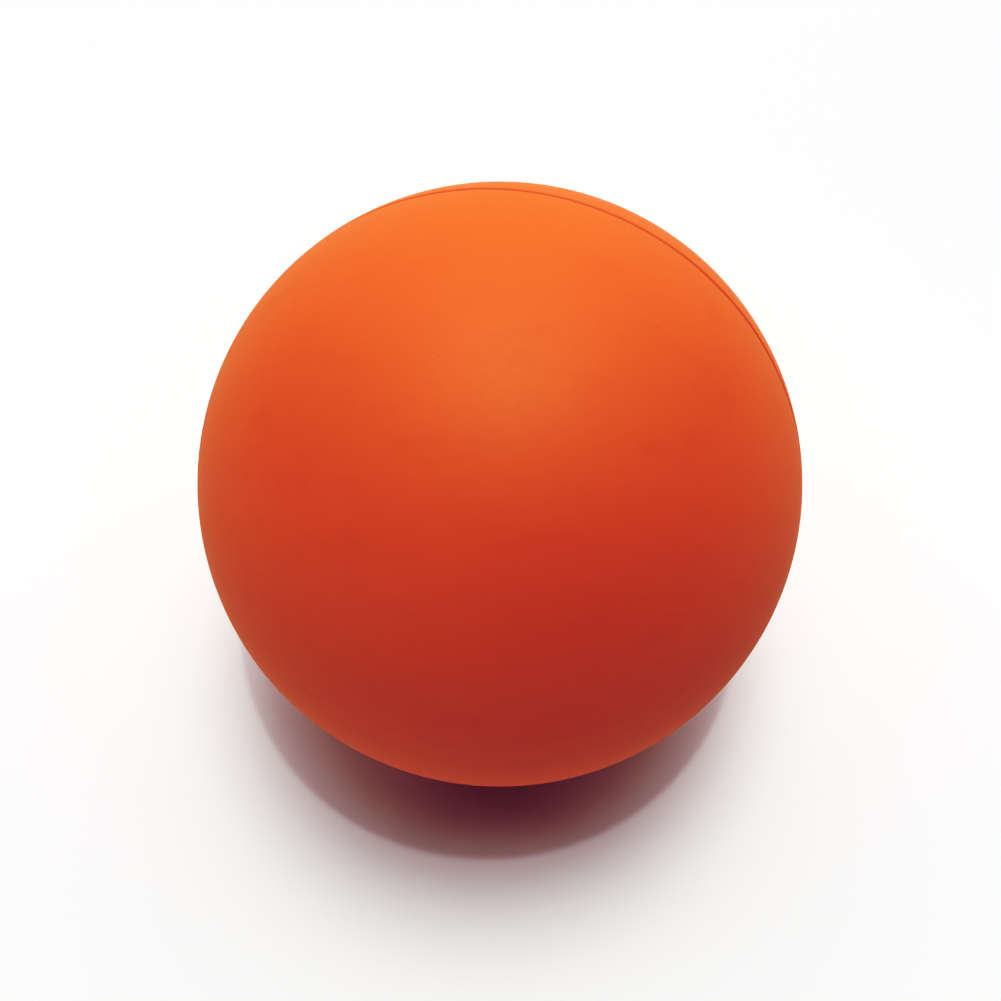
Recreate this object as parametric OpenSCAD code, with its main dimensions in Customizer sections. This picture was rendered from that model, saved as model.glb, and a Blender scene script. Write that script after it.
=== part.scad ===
// Hockey training ball: two moulded cover cups, welded at one seam round a quilted core.
// The quilt is cork and yarn in turn, laid over a cork-and-rubber centre.
// Lengths are in millimetres and angles in degrees. The origin is the ball's centre and +Z is up.

/* [Ball] */
// Diameter over the cover
ball_d = 73; // [68:0.5:80]
// Lean of the seam's axis from upright, as the ball lies
seam_lean = 52.7; // [0:0.1:180]
// Direction that the seam's axis leans to, counted from +X towards +Y
seam_turn = -104.2; // [-180:0.1:180]

/* [Cover] */
// Wall of the cover cups
cover_wall = 6; // [5:0.25:7]
// Length of the spigot on the front cup that enters the rear cup
spigot_l = 3; // [1.5:0.25:5]
// Wall of that spigot, counted outwards from the cups' inside
spigot_wall = 2.8; // [1.5:0.1:3.5]
// Clearance between the spigot and the rebate that takes it
spigot_gap = 0.05; // [0.02:0.01:0.15]

/* [Seam] */
// Width of the groove that shows round the seam
groove_w = 1; // [0.4:0.05:1.2]
// Depth of that groove down to where the rims meet
groove_d = 0.4; // [0.3:0.05:0.7]
// Depth from the ball's surface to the top of the weld bead
weld_sink = 0.15; // [0.05:0.01:0.2]
// Clearance between the weld bead and the bottom of the groove
weld_gap = 0.03; // [0.01:0.01:0.06]

/* [Core] */
// Adhesive line between one layer and the next
bond_line = 0.1; // [0.05:0.05:0.3]
// Thickness of the outer yarn winding
outer_winding_t = 3; // [2:0.25:4]
// Thickness of the outer cork layer
outer_cork_t = 3.5; // [2:0.25:4]
// Thickness of the middle yarn winding
middle_winding_t = 2.5; // [1.5:0.25:3.5]
// Thickness of the inner cork layer
inner_cork_t = 3.5; // [2:0.25:4]
// Thickness of the inner yarn winding
inner_winding_t = 2.5; // [1.5:0.25:3.5]

/* [Hidden] */
$fn = 128;

cover_orange = [0.93, 0.36, 0.10];
weld_orange = [0.76, 0.24, 0.06];
yarn_cream = [0.90, 0.85, 0.72];
cork_tan = [0.72, 0.52, 0.32];
centre_brown = [0.36, 0.24, 0.16];

ball_r = ball_d / 2;
cavity_r = ball_r - cover_wall;
groove_floor_r = ball_r - groove_d;

// Outer radius of each layer of the core, from the outside in. The centre fills what is left.
outer_winding_r = cavity_r - bond_line;
outer_cork_r = outer_winding_r - outer_winding_t - bond_line;
middle_winding_r = outer_cork_r - outer_cork_t - bond_line;
inner_cork_r = middle_winding_r - middle_winding_t - bond_line;
inner_winding_r = inner_cork_r - inner_cork_t - bond_line;
centre_r = inner_winding_r - inner_winding_t - bond_line;

// Turns a piece from the seam's own frame, with the front cup's pole along +Z, to how the ball lies.
module as_it_lies() {
    rotate([0, seam_lean, seam_turn]) children();
}

// The sections below are lathe profiles: x is the distance from the axis, y the height along it.
module above(height) {
    translate([0, height]) square(ball_d);
}

// The wall between two spheres, in section.
module wall_section(outer_r, inner_r) {
    difference() {
        circle(r = outer_r);
        circle(r = inner_r);
    }
}

// The V that the two rims leave at the seam, in section. It runs out past the surface by its own depth.
module groove_section() {
    mouth_r = ball_r + groove_d;
    polygon([[groove_floor_r, 0], [mouth_r, groove_w], [mouth_r, -groove_w]]);
}

// One cup's section before its joint is made: the wall on the front side, less its half of the V.
module cup_section() {
    difference() {
        intersection() {
            wall_section(ball_r, cavity_r);
            above(0);
        }
        groove_section();
    }
}

module spigot_section() {
    translate([cavity_r, -spigot_l]) square([spigot_wall, spigot_l]);
}

// What is cut from the rear cup for the spigot, open to the inside.
module rebate_section() {
    depth = spigot_l + spigot_gap;
    translate([0, -depth]) square([cavity_r + spigot_wall + spigot_gap, depth]);
}

module cover_cup_front() {
    color(cover_orange) as_it_lies() rotate_extrude() {
        cup_section();
        spigot_section();
    }
}

module cover_cup_rear() {
    color(cover_orange) as_it_lies() rotate_extrude() difference() {
        mirror([0, 1]) cup_section();
        rebate_section();
    }
}

// The bead of fused cover material in the bottom of the V, with the V's own slope.
module seam_weld() {
    floor_r = groove_floor_r + weld_gap;
    top_r = ball_r - weld_sink;
    half_w = (top_r - floor_r) * groove_w / (2 * groove_d);
    color(weld_orange) as_it_lies() rotate_extrude()
        polygon([[floor_r, 0], [top_r, half_w], [top_r, -half_w]]);
}

// A yarn winding runs unbroken round everything inside it.
module winding(outer_r, thickness) {
    color(yarn_cream) difference() {
        sphere(r = outer_r);
        sphere(r = outer_r - thickness);
    }
}

module outer_winding() {
    winding(outer_winding_r, outer_winding_t);
}

module middle_winding() {
    winding(middle_winding_r, middle_winding_t);
}

module inner_winding() {
    winding(inner_winding_r, inner_winding_t);
}

// A cork layer is two cups, with half the adhesive line on each rim. This cup's pole is along +Z.
module cork_cup(outer_r, thickness) {
    color(cork_tan) rotate_extrude() intersection() {
        wall_section(outer_r, outer_r - thickness);
        above(bond_line / 2);
    }
}

// The two cork layers' seams lie square to the cover's seam and to each other.
module outer_cork_cup_left() {
    as_it_lies() rotate([90, 0, 0]) cork_cup(outer_cork_r, outer_cork_t);
}

module outer_cork_cup_right() {
    as_it_lies() rotate([-90, 0, 0]) cork_cup(outer_cork_r, outer_cork_t);
}

module inner_cork_cup_upper() {
    as_it_lies() rotate([0, -90, 0]) cork_cup(inner_cork_r, inner_cork_t);
}

module inner_cork_cup_lower() {
    as_it_lies() rotate([0, 90, 0]) cork_cup(inner_cork_r, inner_cork_t);
}

module core_centre() {
    color(centre_brown) sphere(r = centre_r);
}

cover_cup_front();
cover_cup_rear();
seam_weld();
outer_winding();
outer_cork_cup_left();
outer_cork_cup_right();
middle_winding();
inner_cork_cup_upper();
inner_cork_cup_lower();
inner_winding();
core_centre();
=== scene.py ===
"""The looks of the hockey training ball, built round its CAD frame.

Lengths are in metres. The ball's centre is the origin, +Z is up and the camera looks along +Y and down.
"""
import math

import bpy
import numpy as np
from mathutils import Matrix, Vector


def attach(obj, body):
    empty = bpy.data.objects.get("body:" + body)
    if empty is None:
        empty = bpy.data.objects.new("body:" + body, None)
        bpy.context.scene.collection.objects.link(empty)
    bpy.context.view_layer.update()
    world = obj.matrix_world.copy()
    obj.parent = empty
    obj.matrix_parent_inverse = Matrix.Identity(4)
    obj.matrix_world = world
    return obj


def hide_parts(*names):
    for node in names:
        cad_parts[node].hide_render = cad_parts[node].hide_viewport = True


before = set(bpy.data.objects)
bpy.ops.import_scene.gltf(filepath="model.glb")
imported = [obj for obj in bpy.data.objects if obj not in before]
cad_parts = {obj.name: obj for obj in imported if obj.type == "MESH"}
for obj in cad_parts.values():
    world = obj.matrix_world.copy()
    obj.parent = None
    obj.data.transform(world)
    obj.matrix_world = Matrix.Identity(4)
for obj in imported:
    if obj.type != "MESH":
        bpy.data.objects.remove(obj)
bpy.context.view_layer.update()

MM = 0.001
BODY = "root"

# The photograph's frame and the ball's outline in it, in pixels.
PHOTO_PX = 1001
OUTLINE_CENTRE_PX = (499.9, 484.0)
OUTLINE_RADIUS_PX = 302.6

# The camera: its distance and near limit in ball radii, its height above the horizon, and its sensor.
CAMERA_RADII = 4.5
NEAR_RADII = 0.1
CAMERA_ELEVATION = math.radians(63)
SENSOR = 36 * MM

# How finely the pieces are meshed: steps round the axis, and steps along a section's arc.
LATHE_STEPS = 256
BEAD_LATHE_STEPS = 2 * LATHE_STEPS
SHELL_LATHE_STEPS = LATHE_STEPS // 4
ARC_STEPS = 96
INNER_ARC_STEPS = ARC_STEPS // 2

# What is nearer than this counts as the same size in the CAD mesh, and as on the axis in a section.
SAME_SIZE = 0.01 * MM
ON_AXIS = 1e-9

# The seam's lips: their rounding, their unevenness, and how many groove half-widths that reaches.
LIP_ROUND = 0.12 * MM
LIP_STEPS = 4
SEAM_UNEVEN = 0.16
UNEVEN_REACH = 2

# The waves of that unevenness: how many go round the seam, their share and their phase.
SEAM_WAVES = ((7, 0.5, 0.3), (19, 0.3, 1.7), (43, 0.2, 4.1))

# The weld bead's crown: its height, and the steps on each side of it.
BEAD_CROWN = 0.04 * MM
BEAD_STEPS = 6

# The yarn's strand, its bands of turns that cross each other, and each band's lift over the last.
STRAND = 0.9 * MM
STRAND_SIDES = 6
BANDS = 24
TURNS_IN_BAND = 6
STEPS_IN_TURN = 48
STEPS_BETWEEN_BANDS = 10
BAND_LIFT = 0.05 * MM

# How many of the topmost bands lie clear of the shell under them, and the turn from band to band.
BANDS_OVER_SHELL = BANDS // 3
GOLDEN_TURN = math.pi * (3 - math.sqrt(5))

# The cover's slow drift of pigment: its size, and the noise values that it runs between.
DRIFT_SIZE = 22 * MM
DRIFT_RANGE = (0.35, 0.65)

# Faint specks in the cover: spacing, the shares of it that they fade between, and how much they show.
SPECK_SPACING = 5.5 * MM
SPECK_FADE = (0.012, 0.036)
SPECK_SHARE = 0.22

# Faint scuffs on the cover: their width, noise values, stretch and slant, and how much they show.
SCUFF_WIDTH = 5 * MM
SCUFF_RANGE = (0.56, 0.70)
SCUFF_STRETCH = (0.3, 1.0, 1.0)
SCUFF_SLANT = (0.5, 0.9, -0.7)
SCUFF_SHARE = 0.17

# Painted shade in the seam's groove: how far below the ball's surface it starts, and where it is full.
SHADE_START = 0.02 * MM
SHADE_FULL = 0.08 * MM

# The cover's skin: a fine grain, a slow swell, and how matte it is.
GRAIN_SIZE = 0.35 * MM
GRAIN_DEPTH = 0.010 * MM
SWELL_SIZE = 3.0 * MM
SWELL_DEPTH = 0.020 * MM
MATTE_SIZE = 0.6 * MM
MATTE_RANGE = (0.3, 0.7)
COVER_ROUGHNESS = (0.58, 0.64)

# The weld's mottling and skin.
MOTTLE_SIZE = 1.5 * MM
WELD_SKIN_SIZE = 0.3 * MM
WELD_SKIN_DEPTH = 0.02 * MM

# The yarn's fibres.
FIBRE_SIZE = 0.25 * MM
FIBRE_RANGE = (0.35, 0.7)
FIBRE_DEPTH = 0.15 * MM

# The cork's granules: size, tones, dark edges, and the pits between them.
GRANULE_SIZE = 1.6 * MM
GRANULE_TONES = (0.1, 0.9)
GRANULE_EDGE = (0.0, 0.08)
PIT_EDGE = (0.0, 0.15)
PIT_DEPTH = 0.15 * MM

# The centre's crumbs of cork: size, the tones that part them from rubber, edges, roughness and skin.
CRUMB_SIZE = 1.5 * MM
CRUMB_TONES = (0.62, 0.64)
CRUMB_EDGE = (0.03, 0.10)
CENTRE_ROUGHNESS = (0.55, 0.85)
CENTRE_SKIN_SIZE = 0.6 * MM
CENTRE_SKIN_DEPTH = 0.08 * MM

# Colours, as linear red, green and blue.
COVER_ORANGE = (0.785, 0.216, 0.043)
COVER_DEEP = (0.765, 0.208, 0.041)
COVER_SPECK = (0.55, 0.115, 0.028)
COVER_SCUFF = (0.66, 0.165, 0.035)
# The first colour below is painted shade for the seam's groove walls.
SEAM_PAINTED_SHADE = (0.65, 0.170, 0.022)
# The weld's two colours: darker than the cover as painted shade in the groove, mottled between each other.
WELD_ORANGE = (0.60, 0.152, 0.022)
WELD_DARK = (0.48, 0.118, 0.018)
YARN_CREAM = (0.72, 0.64, 0.48)
YARN_PAINTED_SHADE = (0.50, 0.42, 0.28)
CORK_LIGHT = (0.52, 0.31, 0.15)
CORK_DARK = (0.20, 0.10, 0.045)
CENTRE_RUBBER = (0.045, 0.026, 0.016)
CENTRE_CORK = (0.36, 0.20, 0.09)
FLOOR_WHITE = (0.915, 0.915, 0.915)
WHITE = (1.0, 1.0, 1.0)
BLACK = (0.0, 0.0, 0.0)

# Lights far off: the direction from the ball to each, how wide it looks from there, and its strength.
LIGHTS = {
    "lamp": ((0.046, 0.05, 1.0), math.radians(1.6), 0.34),
    "panel": ((0.04, 0.26, 1.0), math.radians(20), 0.80),
    "top_panel": ((0.05, 0.2, 1.0), math.radians(36), 0.73),
    "back_panel": ((0.0, 1.0, 1.0), math.radians(110), 1.88),
    "front_fill": ((-1.0, -1.0, 0.08), math.radians(30), 0.40),
}
FILL_STRENGTH = 0.055

# The floor's side, and the pale dome that closes the view behind it.
FLOOR_SIZE = 12.0
DOME_RADIUS = 5.5
DOME_STRENGTH = 0.97

# The picture's contrast: its gamma, and points (scene value, shown value) for each channel.
VIEW_GAMMA = 0.4545
TONE_RED = ((0.0, 0.0), (0.1, 0.139), (0.3, 0.454), (0.5, 0.695), (0.75, 0.889))
TONE_GREEN = ((0.0, 0.0), (0.1, 0.105), (0.3, 0.446), (0.5, 0.719), (0.75, 0.911))
TONE_BLUE = ((0.0, 0.113), (0.1, 0.175), (0.3, 0.489), (0.5, 0.738), (0.75, 0.914))


# Sizes from the frame

def node_points(node):
    """A CAD node's vertices as an array."""
    return np.array([v.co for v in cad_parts[node].data.vertices], float)


def seam_axis():
    """The unit vector along the seam's axis, towards the front cup. It is square to the weld's ring."""
    ring = node_points("seam_weld")
    normal = np.linalg.svd(ring - ring.mean(0), full_matrices=False)[2][2]
    return normal * np.sign(normal @ node_points("cover_cup_front").mean(0))


def seam_frame(axis):
    """Turns the lathe's frame, with its axis along +Z, to how the ball lies."""
    return Vector(axis).to_track_quat("Z", "Y").to_matrix().to_4x4()


def along_axis(node, axis):
    """A CAD node's vertices as heights along the axis, distances from it, and distances from the origin."""
    points = node_points(node)
    height = points @ axis
    reach = np.linalg.norm(points, axis=1)
    wide = np.sqrt(np.maximum(reach ** 2 - height ** 2, 0))
    return height, wide, reach


class CoverSizes:
    """The cover's sizes, read from the two cups as packed."""

    def __init__(self, axis):
        height, wide, reach = along_axis("cover_cup_front", axis)
        self.ball_r = reach.max()
        self.cavity_r = reach[height > SAME_SIZE].min()
        self.spigot_l = -height.min()
        self.spigot_r = wide[height < SAME_SIZE - self.spigot_l].max()
        self.groove_floor_r = wide[abs(height) < SAME_SIZE].max()
        self.groove_half_w = height[reach > self.ball_r - SAME_SIZE].min()
        height, wide, reach = along_axis("cover_cup_rear", axis)
        self.rebate_r = wide[abs(height) < SAME_SIZE].min()
        self.rebate_l = -height[abs(wide - self.rebate_r) < SAME_SIZE].min()


# Meshes

def mesh_of(name, points, faces, material):
    """A mesh with one material."""
    mesh = bpy.data.meshes.new(name)
    mesh.from_pydata([tuple(p) for p in points], [], faces)
    mesh.materials.append(material)
    return mesh


def placed(name, data):
    """A new object in the scene."""
    made = bpy.data.objects.new(name, data)
    bpy.context.scene.collection.objects.link(made)
    return made


def piece(name, points, faces, material, node):
    """A smooth mesh that rides on the ball and stands for a CAD node."""
    mesh = mesh_of(name, points, faces, material)
    mesh.validate()
    mesh.shade_smooth()
    made = placed(name, mesh)
    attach(made, BODY)
    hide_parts(node)


def flipped(faces):
    """The same faces, seen from their other side."""
    return [face[::-1] for face in faces]


def turned(points, matrix):
    """Points of the lathe's frame, turned to how the ball lies."""
    return [matrix @ Vector(p) for p in points]


def arc(radius, start, end, steps):
    """Points (distance from the axis, height) on a circle round the origin, between two height angles."""
    angles = np.linspace(start, end, steps + 1)
    return [(radius * math.cos(a), radius * math.sin(a)) for a in angles]


def rounded(before, corner, after, radius, steps):
    """A corner of a profile as a short curve that starts and ends at radius from it."""
    before, corner, after = (np.array(p) for p in (before, corner, after))
    first = corner + (before - corner) * min(1, radius / np.linalg.norm(before - corner))
    last = corner + (after - corner) * min(1, radius / np.linalg.norm(after - corner))
    ts = np.linspace(0, 1, steps + 1)[:, None]
    curve = (1 - ts) ** 2 * first + 2 * ts * (1 - ts) * corner + ts ** 2 * last
    return [tuple(p) for p in curve]


def lathe(profile, steps, uneven=None):
    """Points and faces of a profile turned about +Z. One that stays off the axis is closed to a ring."""
    profile = np.array(profile)
    on_axis = profile[:, 0] < ON_AXIS
    points, rings = [], []
    for (wide, height), single in zip(profile, on_axis):
        if single:
            rings.append([len(points)] * steps)
            points.append((0, 0, height))
            continue
        rings.append(list(range(len(points), len(points) + steps)))
        for k in range(steps):
            turn = 2 * math.pi * k / steps
            w, h = uneven(wide, height, turn) if uneven else (wide, height)
            points.append((w * math.cos(turn), w * math.sin(turn), h))
    following = rings[1:] if on_axis.any() else rings[1:] + rings[:1]
    faces = []
    for low, high in zip(rings, following):
        for k in range(steps):
            n = (k + 1) % steps
            corners = [low[k], low[n], high[n], high[k]]
            faces.append(list(dict.fromkeys(corners)))
    return points, faces


def wave(turn):
    """A gentle unevenness round the seam, from about -1 to 1."""
    return sum(share * math.sin(count * turn + phase) for count, share, phase in SEAM_WAVES)


def rim_points(size):
    """A cup's outer surface from its pole to the lip, the lip's rounding and the groove's wall."""
    lip_angle = math.asin(size.groove_half_w / size.ball_r)
    lip = (size.ball_r * math.cos(lip_angle), size.groove_half_w)
    groove_floor = (size.groove_floor_r, 0)
    sphere = arc(size.ball_r, math.pi / 2, lip_angle, ARC_STEPS)[:-1]
    return sphere + rounded(sphere[-1], lip, groove_floor, LIP_ROUND, LIP_STEPS) + [groove_floor]


def cup_profile(side, size):
    """A cup's section: its rim, its half of the joint, and its inside up to the pole."""
    if side == "front":
        joint = [
            (size.spigot_r, 0),
            (size.spigot_r, -size.spigot_l),
            (size.cavity_r, -size.spigot_l),
        ]
        inside_start = 0
    else:
        joint = [(size.rebate_r, 0), (size.rebate_r, size.rebate_l)]
        inside_start = math.asin(size.rebate_l / size.cavity_r)
    inside = arc(size.cavity_r, inside_start, math.pi / 2, INNER_ARC_STEPS)
    return rim_points(size) + joint + inside


def cover_cup(side, size, matrix, material):
    """A cover cup, front or rear, with a rounded and slightly uneven lip at the seam."""
    uneven_h = UNEVEN_REACH * size.groove_half_w

    def uneven(wide, height, turn):
        share = max(0, 1 - abs(height) / uneven_h) if wide > size.groove_floor_r else 0
        return wide, height * (1 + SEAM_UNEVEN * share * wave(turn))

    points, faces = lathe(cup_profile(side, size), LATHE_STEPS, uneven)
    if side == "front":
        faces = flipped(faces)
    else:
        points = [(x, y, -z) for x, y, z in points]
    piece("cover_" + side, turned(points, matrix), faces, material, "cover_cup_" + side)


def weld_bead(matrix, material):
    """The weld bead: the CAD ring's section with a low crown, which rises and falls round the seam."""
    ring = node_points("seam_weld") @ np.array(matrix.to_3x3())
    reach = np.hypot(ring[:, 0], ring[:, 1])
    top, low = reach.max(), reach.min()
    half_w = abs(ring[:, 2]).max()
    section = []
    for k in range(BEAD_STEPS, -BEAD_STEPS - 1, -1):
        rise = BEAD_CROWN * math.cos(math.pi / 2 * k / BEAD_STEPS)
        section.append((top + rise - BEAD_CROWN, half_w * k / BEAD_STEPS))
    section.append((low, 0))

    def uneven(wide, height, turn):
        sink = BEAD_CROWN * (0.5 + 0.5 * wave(turn)) if wide > low + BEAD_CROWN else 0
        return wide - sink, height

    points, faces = lathe(section, BEAD_LATHE_STEPS, uneven)
    piece("seam_bead", turned(points, matrix), flipped(faces), material, "seam_weld")


def band_axis(k):
    """The k-th of BANDS directions spread evenly over half a sphere."""
    height = 1 - (k + 0.5) / BANDS
    turn = k * GOLDEN_TURN
    wide = math.sqrt(1 - height ** 2)
    return Vector((wide * math.cos(turn), wide * math.sin(turn), height))


def band_of_turns(axis, side, radius):
    """Turns of the strand round an axis, side by side on a sphere, that start on the given side."""
    across = axis.cross(side)
    spread = TURNS_IN_BAND * STRAND / radius
    count = TURNS_IN_BAND * STEPS_IN_TURN
    band = []
    for i in range(count + 1):
        turn = 2 * math.pi * i / STEPS_IN_TURN
        lift = spread * (i / count - 0.5)
        round_axis = side * math.cos(turn) + across * math.sin(turn)
        band.append((round_axis * math.cos(lift) + axis * math.sin(lift)) * radius)
    return band


def bridge(start, end):
    """The strand's way over the sphere, between the end of one band and the start of the next."""
    way = []
    for i in range(1, STEPS_BETWEEN_BANDS):
        share = i / STEPS_BETWEEN_BANDS
        reach = start.length * (1 - share) + end.length * share
        way.append(start.lerp(end, share).normalized() * reach)
    return way


def winding_path(outer_r):
    """One unbroken strand, in bands of turns that each lie across the last and a little above it."""
    path = []
    for k in range(BANDS):
        axis = band_axis(k)
        radius = outer_r - STRAND / 2 - (BANDS - 1 - k) * BAND_LIFT
        if path:
            last = path[-1].normalized()
            side = (last - axis * last.dot(axis)).normalized()
            band = band_of_turns(axis, side, radius)
            path += bridge(path[-1], band[0])
        else:
            band = band_of_turns(axis, axis.orthogonal().normalized(), radius)
        path += band
    return path


def strand_mesh(path):
    """Points and faces of a round strand along a path on a sphere, closed at both ends."""
    points, faces = [], []
    for i, centre in enumerate(path):
        ahead = path[min(i + 1, len(path) - 1)] - path[max(i - 1, 0)]
        out = centre.normalized()
        across = out.cross(ahead).normalized()
        for k in range(STRAND_SIDES):
            turn = 2 * math.pi * k / STRAND_SIDES
            points.append(centre + (out * math.cos(turn) + across * math.sin(turn)) * (STRAND / 2))
    last = (len(path) - 1) * STRAND_SIDES
    for low in range(0, last, STRAND_SIDES):
        high = low + STRAND_SIDES
        for k in range(STRAND_SIDES):
            n = (k + 1) % STRAND_SIDES
            faces.append([low + k, high + k, high + n, low + n])
    faces.append(list(range(STRAND_SIDES)))
    faces.append([last + k for k in reversed(range(STRAND_SIDES))])
    return points, faces


def winding(node, material):
    """A yarn winding: its packed turns as a shell, with the outermost turns as a strand laid on it."""
    reach = np.linalg.norm(node_points(node), axis=1)
    outer_r, inner_r = reach.max(), reach.min()
    shell_r = outer_r - STRAND - BANDS_OVER_SHELL * BAND_LIFT
    points, faces = strand_mesh(winding_path(outer_r))
    for radius, inwards in ((shell_r, False), (inner_r, True)):
        profile = arc(radius, -math.pi / 2, math.pi / 2, INNER_ARC_STEPS)
        ball_points, ball_faces = lathe(profile, SHELL_LATHE_STEPS)
        if inwards:
            ball_faces = flipped(ball_faces)
        first = len(points)
        points += ball_points
        faces += [[first + i for i in face] for face in ball_faces]
    piece("wound_" + node, points, faces, material, node)


# Materials

class Nodes:
    """A short way to write a material's node tree."""

    def __init__(self, name):
        self.material = bpy.data.materials.new(name)
        self.material.use_nodes = True
        self.tree = self.material.node_tree
        self.shader = self.tree.nodes["Principled BSDF"]
        self.place = self.node("ShaderNodeTexCoord").outputs["Object"]

    def node(self, kind, **settings):
        """A new node, with its inputs and properties set by name."""
        made = self.tree.nodes.new(kind)
        for key, value in settings.items():
            if key in made.inputs:
                self.feed(made.inputs[key], value)
            else:
                setattr(made, key, value)
        return made

    def feed(self, socket, value):
        """Links a socket to an output, or sets its value. A colour gets a full alpha."""
        if isinstance(value, bpy.types.NodeSocket):
            self.tree.links.new(value, socket)
        elif isinstance(value, tuple):
            socket.default_value = value + (1,) * (len(socket.default_value) - len(value))
        else:
            socket.default_value = value

    def set(self, **sockets):
        """Feeds the shader's sockets, with _ for each space in their names."""
        for key, value in sockets.items():
            self.feed(self.shader.inputs[key.replace("_", " ")], value)

    def noise(self, size, detail=2.0, roughness=0.5, place=None):
        """Noise from about 0 to 1, with features of that size in metres."""
        made = self.node("ShaderNodeTexNoise", Scale=1 / size, Detail=detail, Roughness=roughness)
        self.feed(made.inputs["Vector"], self.place if place is None else place)
        return made.outputs["Fac"]

    def stretched(self, slant, stretch):
        """The place on the piece, stretched and then turned by slant."""
        made = self.node("ShaderNodeMapping", Vector=self.place, Rotation=slant, Scale=stretch)
        return made.outputs["Vector"]

    def cells(self, size, feature="F1"):
        """Cells round scattered points, about that size in metres apart."""
        return self.node("ShaderNodeTexVoronoi", feature=feature, Vector=self.place, Scale=1 / size)

    def granules(self, size):
        """Granules of about that size in metres: a tone for each one, and the distance to its edge."""
        colour = self.cells(size).outputs["Color"]
        tone = self.node("ShaderNodeSeparateColor", Color=colour).outputs["Red"]
        edge = self.cells(size, "DISTANCE_TO_EDGE").outputs["Distance"]
        return tone, edge

    def ramp(self, value, span, ends=(0.0, 1.0)):
        """Maps a value from span to ends, and holds it there."""
        made = self.node("ShaderNodeMapRange")
        for socket, v in zip(made.inputs[:5], (value, *span, *ends)):
            self.feed(socket, v)
        return made.outputs["Result"]

    def mix(self, share, a, b):
        """Colour a where share is 0, and b where it is 1."""
        made = self.node("ShaderNodeMix", data_type="RGBA")
        for key, v in (("Factor_Float", share), ("A_Color", a), ("B_Color", b)):
            socket = next(s for s in made.inputs if s.identifier == key)
            self.feed(socket, v)
        return next(s for s in made.outputs if s.identifier == "Result_Color")

    def bump(self, height, depth, before=None):
        """A bump of that depth in metres, over another if given."""
        made = self.node("ShaderNodeBump", Height=height, Distance=depth, Strength=1.0)
        if before:
            self.feed(made.inputs["Normal"], before)
        return made.outputs["Normal"]


def cover_material(size):
    """Matte moulded PVC: drifting pigment, faint specks and scuffs, painted shade in the seam's groove, and
    a fine skin.
    """
    n = Nodes("cover_pvc")
    drift = n.ramp(n.noise(DRIFT_SIZE, detail=3), DRIFT_RANGE)
    colour = n.mix(drift, COVER_ORANGE, COVER_DEEP)
    specks = n.ramp(n.cells(SPECK_SPACING).outputs["Distance"], SPECK_FADE, (SPECK_SHARE, 0.0))
    colour = n.mix(specks, colour, COVER_SPECK)
    slanted = n.stretched(SCUFF_SLANT, SCUFF_STRETCH)
    streaks = n.noise(SCUFF_WIDTH, detail=4, roughness=0.6, place=slanted)
    colour = n.mix(n.ramp(streaks, SCUFF_RANGE, (0.0, SCUFF_SHARE)), colour, COVER_SCUFF)
    # Painted shade: the cover is darkened where it lies below the ball's surface in the seam's groove;
    # below the groove floor it is kept plain orange.
    reach = n.node("ShaderNodeVectorMath", operation="LENGTH", Vector=n.place).outputs["Value"]
    for surface_r, below in ((size.ball_r, SEAM_PAINTED_SHADE), (size.groove_floor_r, COVER_ORANGE)):
        sunk = n.ramp(reach, (surface_r - SHADE_FULL, surface_r - SHADE_START), (1.0, 0.0))
        colour = n.mix(sunk, colour, below)
    skin = n.bump(n.noise(GRAIN_SIZE, detail=3), GRAIN_DEPTH)
    skin = n.bump(n.noise(SWELL_SIZE), SWELL_DEPTH, skin)
    matte = n.ramp(n.noise(MATTE_SIZE, detail=3), MATTE_RANGE, COVER_ROUGHNESS)
    n.set(Base_Color=colour, Normal=skin, Roughness=matte, Specular_IOR_Level=0.58)
    return n.material


def weld_material():
    """The same PVC at the weld, darker than the cover as painted shade in the groove, with a slightly
    smoother skin.
    """
    n = Nodes("weld_pvc")
    n.set(Base_Color=n.mix(n.noise(MOTTLE_SIZE), WELD_ORANGE, WELD_DARK), Roughness=0.5)
    n.set(Normal=n.bump(n.noise(WELD_SKIN_SIZE), WELD_SKIN_DEPTH))
    return n.material


def yarn_material():
    """Natural yarn: fine fibres painted pale where they stand up, with painted shade between them, and a
    soft sheen.
    """
    n = Nodes("yarn")
    fibres = n.noise(FIBRE_SIZE, detail=4, roughness=0.7)
    # Painted light and shade: the fibres' noise, which also raises the bump, paints the raised fibres pale
    # and the hollows between them dark.
    n.set(Base_Color=n.mix(n.ramp(fibres, FIBRE_RANGE), YARN_PAINTED_SHADE, YARN_CREAM), Roughness=0.9)
    n.set(Normal=n.bump(fibres, FIBRE_DEPTH), Sheen_Weight=0.3)
    return n.material


def cork_material():
    """Moulded cork: pale and dark granules pressed together, with pits between them."""
    n = Nodes("cork")
    tone, edge = n.granules(GRANULE_SIZE)
    colour = n.mix(n.ramp(tone, GRANULE_TONES), CORK_LIGHT, CORK_DARK)
    colour = n.mix(n.ramp(edge, GRANULE_EDGE), CORK_DARK, colour)
    n.set(Base_Color=colour, Roughness=0.85, Normal=n.bump(n.ramp(edge, PIT_EDGE), PIT_DEPTH))
    return n.material


def centre_material():
    """Dark rubber with angular crumbs of cork in it."""
    n = Nodes("centre_compound")
    tone, edge = n.granules(CRUMB_SIZE)
    crumb = n.ramp(tone, CRUMB_TONES)
    colour = n.mix(crumb, CENTRE_RUBBER, CENTRE_CORK)
    colour = n.mix(n.ramp(edge, CRUMB_EDGE), CENTRE_RUBBER, colour)
    n.set(Base_Color=colour, Roughness=n.ramp(crumb, (0.0, 1.0), CENTRE_ROUGHNESS))
    n.set(Normal=n.bump(n.noise(CENTRE_SKIN_SIZE, detail=3), CENTRE_SKIN_DEPTH))
    return n.material


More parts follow.
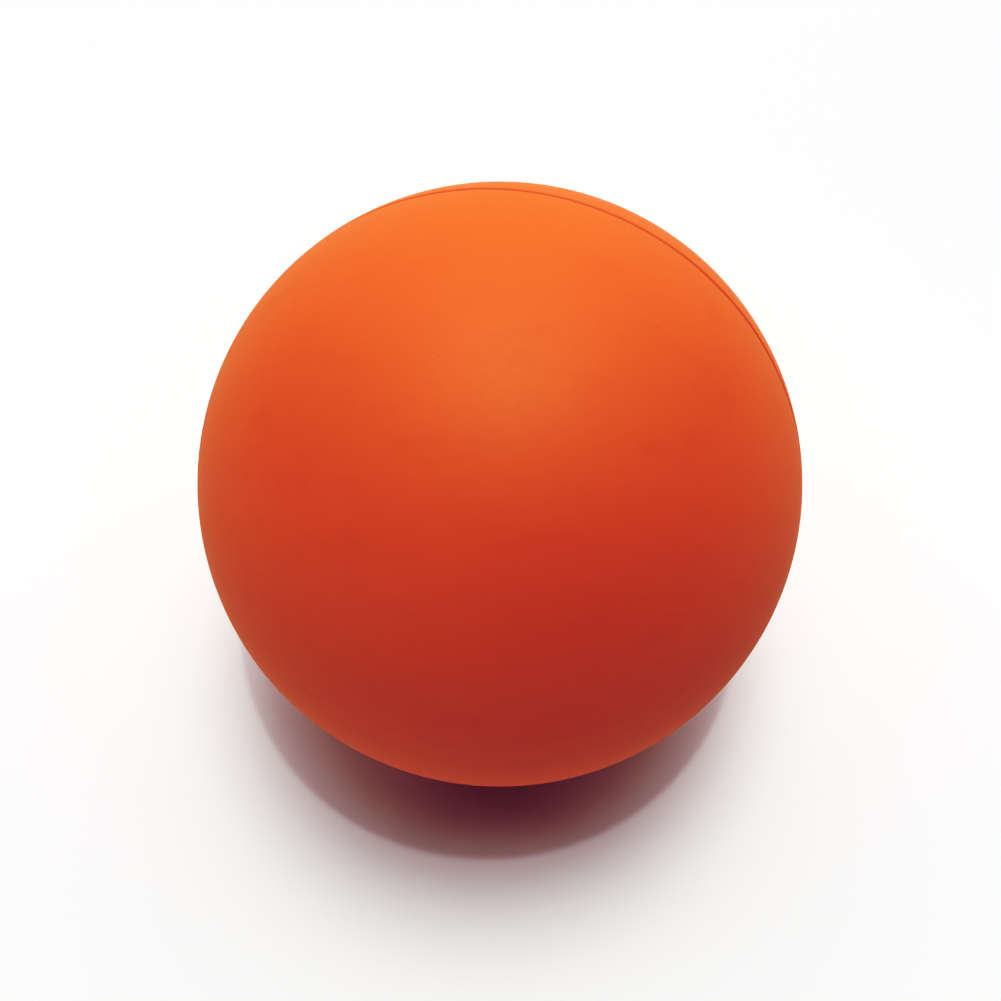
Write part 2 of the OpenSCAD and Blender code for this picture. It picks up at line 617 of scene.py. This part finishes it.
def floor_material():
    """Plain pale paper."""
    n = Nodes("floor_paper")
    n.set(Base_Color=FLOOR_WHITE, Roughness=0.9, Specular_IOR_Level=0.1)
    return n.material


def backdrop_material():
    """An even white glow, which lights nothing."""
    n = Nodes("backdrop")
    n.set(Base_Color=BLACK, Specular_IOR_Level=0.0)
    n.set(Emission_Color=WHITE, Emission_Strength=DOME_STRENGTH)
    n.material.cycles.emission_sampling = "NONE"
    return n.material


# Stage, light and camera

def distant_light(name, towards, angle, strength):
    """A round light so far off that it lights the whole floor alike. towards leads from the ball to it."""
    data = bpy.data.lights.new(name, "SUN")
    data.angle = angle
    data.energy = strength
    made = placed(name, data)
    made.rotation_euler = (-Vector(towards)).to_track_quat("-Z", "Y").to_euler()


def lights():
    """The distant lights, and a weak even fill from all round."""
    for name, (towards, angle, strength) in LIGHTS.items():
        distant_light(name, towards, angle, strength)
    world = bpy.data.worlds.new("fill")
    world.use_nodes = True
    background = world.node_tree.nodes["Background"]
    background.inputs["Color"].default_value = WHITE + (1,)
    background.inputs["Strength"].default_value = FILL_STRENGTH
    bpy.context.scene.world = world


def floor(ball_r):
    """A plain square floor, which the ball touches at its lowest point."""
    half = FLOOR_SIZE / 2
    corners = [(x * half, y * half, -ball_r) for x, y in ((-1, -1), (1, -1), (1, 1), (-1, 1))]
    made = placed("floor", mesh_of("floor", corners, [(0, 1, 2, 3)], floor_material()))


def backdrop(ball_r):
    """A pale dome over the floor that only the camera sees, so it neither lights nor shades the ball."""
    profile = arc(DOME_RADIUS, 0, math.pi / 2, INNER_ARC_STEPS)
    points, faces = lathe(profile, SHELL_LATHE_STEPS)
    points = [(x, y, z - ball_r) for x, y, z in points]
    made = placed("backdrop", mesh_of("backdrop", points, faces, backdrop_material()))
    for ray in ("diffuse", "glossy", "transmission", "volume_scatter", "shadow"):
        setattr(made, "visible_" + ray, False)


def camera(ball_r):
    """Looks along +Y and down, with the ball's outline where the photograph has it, and of that size."""
    focal_px = OUTLINE_RADIUS_PX * math.sqrt(CAMERA_RADII ** 2 - 1)
    data = bpy.data.cameras.new("camera")
    data.sensor_width = SENSOR / MM
    data.lens = focal_px / PHOTO_PX * SENSOR / MM
    data.clip_start = NEAR_RADII * ball_r
    made = placed("camera", data)
    back = Vector((0, -math.cos(CAMERA_ELEVATION), math.sin(CAMERA_ELEVATION)))
    up = Vector((0, math.sin(CAMERA_ELEVATION), math.cos(CAMERA_ELEVATION)))
    made.location = back * CAMERA_RADII * ball_r
    # The outline of a sphere off the middle of the frame lies a little further out than its centre.
    out = CAMERA_RADII ** 2 / (CAMERA_RADII ** 2 - 1)
    across_px = (OUTLINE_CENTRE_PX[0] - PHOTO_PX / 2) / out
    down_px = (OUTLINE_CENTRE_PX[1] - PHOTO_PX / 2) / out
    forward = -back * focal_px - Vector((1, 0, 0)) * across_px + up * down_px
    made.rotation_euler = forward.to_track_quat("-Z", "Y").to_euler()
    bpy.context.scene.camera = made


def tone():
    """The photograph's contrast: shades deepen towards red, and white is reached softly."""
    view = bpy.context.scene.view_settings
    view.view_transform = "Standard"
    view.look = "None"
    view.gamma = VIEW_GAMMA
    view.use_curve_mapping = True
    curves = view.curve_mapping.curves
    for curve, (first, *others) in zip(curves, (TONE_RED, TONE_GREEN, TONE_BLUE)):
        curve.points[0].location = first
        for x, y in others:
            curve.points.new(x, y)
    view.curve_mapping.update()


def build():
    """The ball's pieces from the outside in, and then what stands round it."""
    axis = seam_axis()
    size = CoverSizes(axis)
    matrix = seam_frame(axis)
    cover = cover_material(size)
    cover_cup("front", size, matrix, cover)
    cover_cup("rear", size, matrix, cover)
    weld_bead(matrix, weld_material())
    yarn = yarn_material()
    for node in ("outer_winding", "middle_winding", "inner_winding"):
        winding(node, yarn)
    cork = cork_material()
    for node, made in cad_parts.items():
        if "cork" in node:
            made.material_slots[0].material = cork
    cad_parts["core_centre"].material_slots[0].material = centre_material()
    floor(size.ball_r)
    backdrop(size.ball_r)
    camera(size.ball_r)
    lights()
    tone()


build()
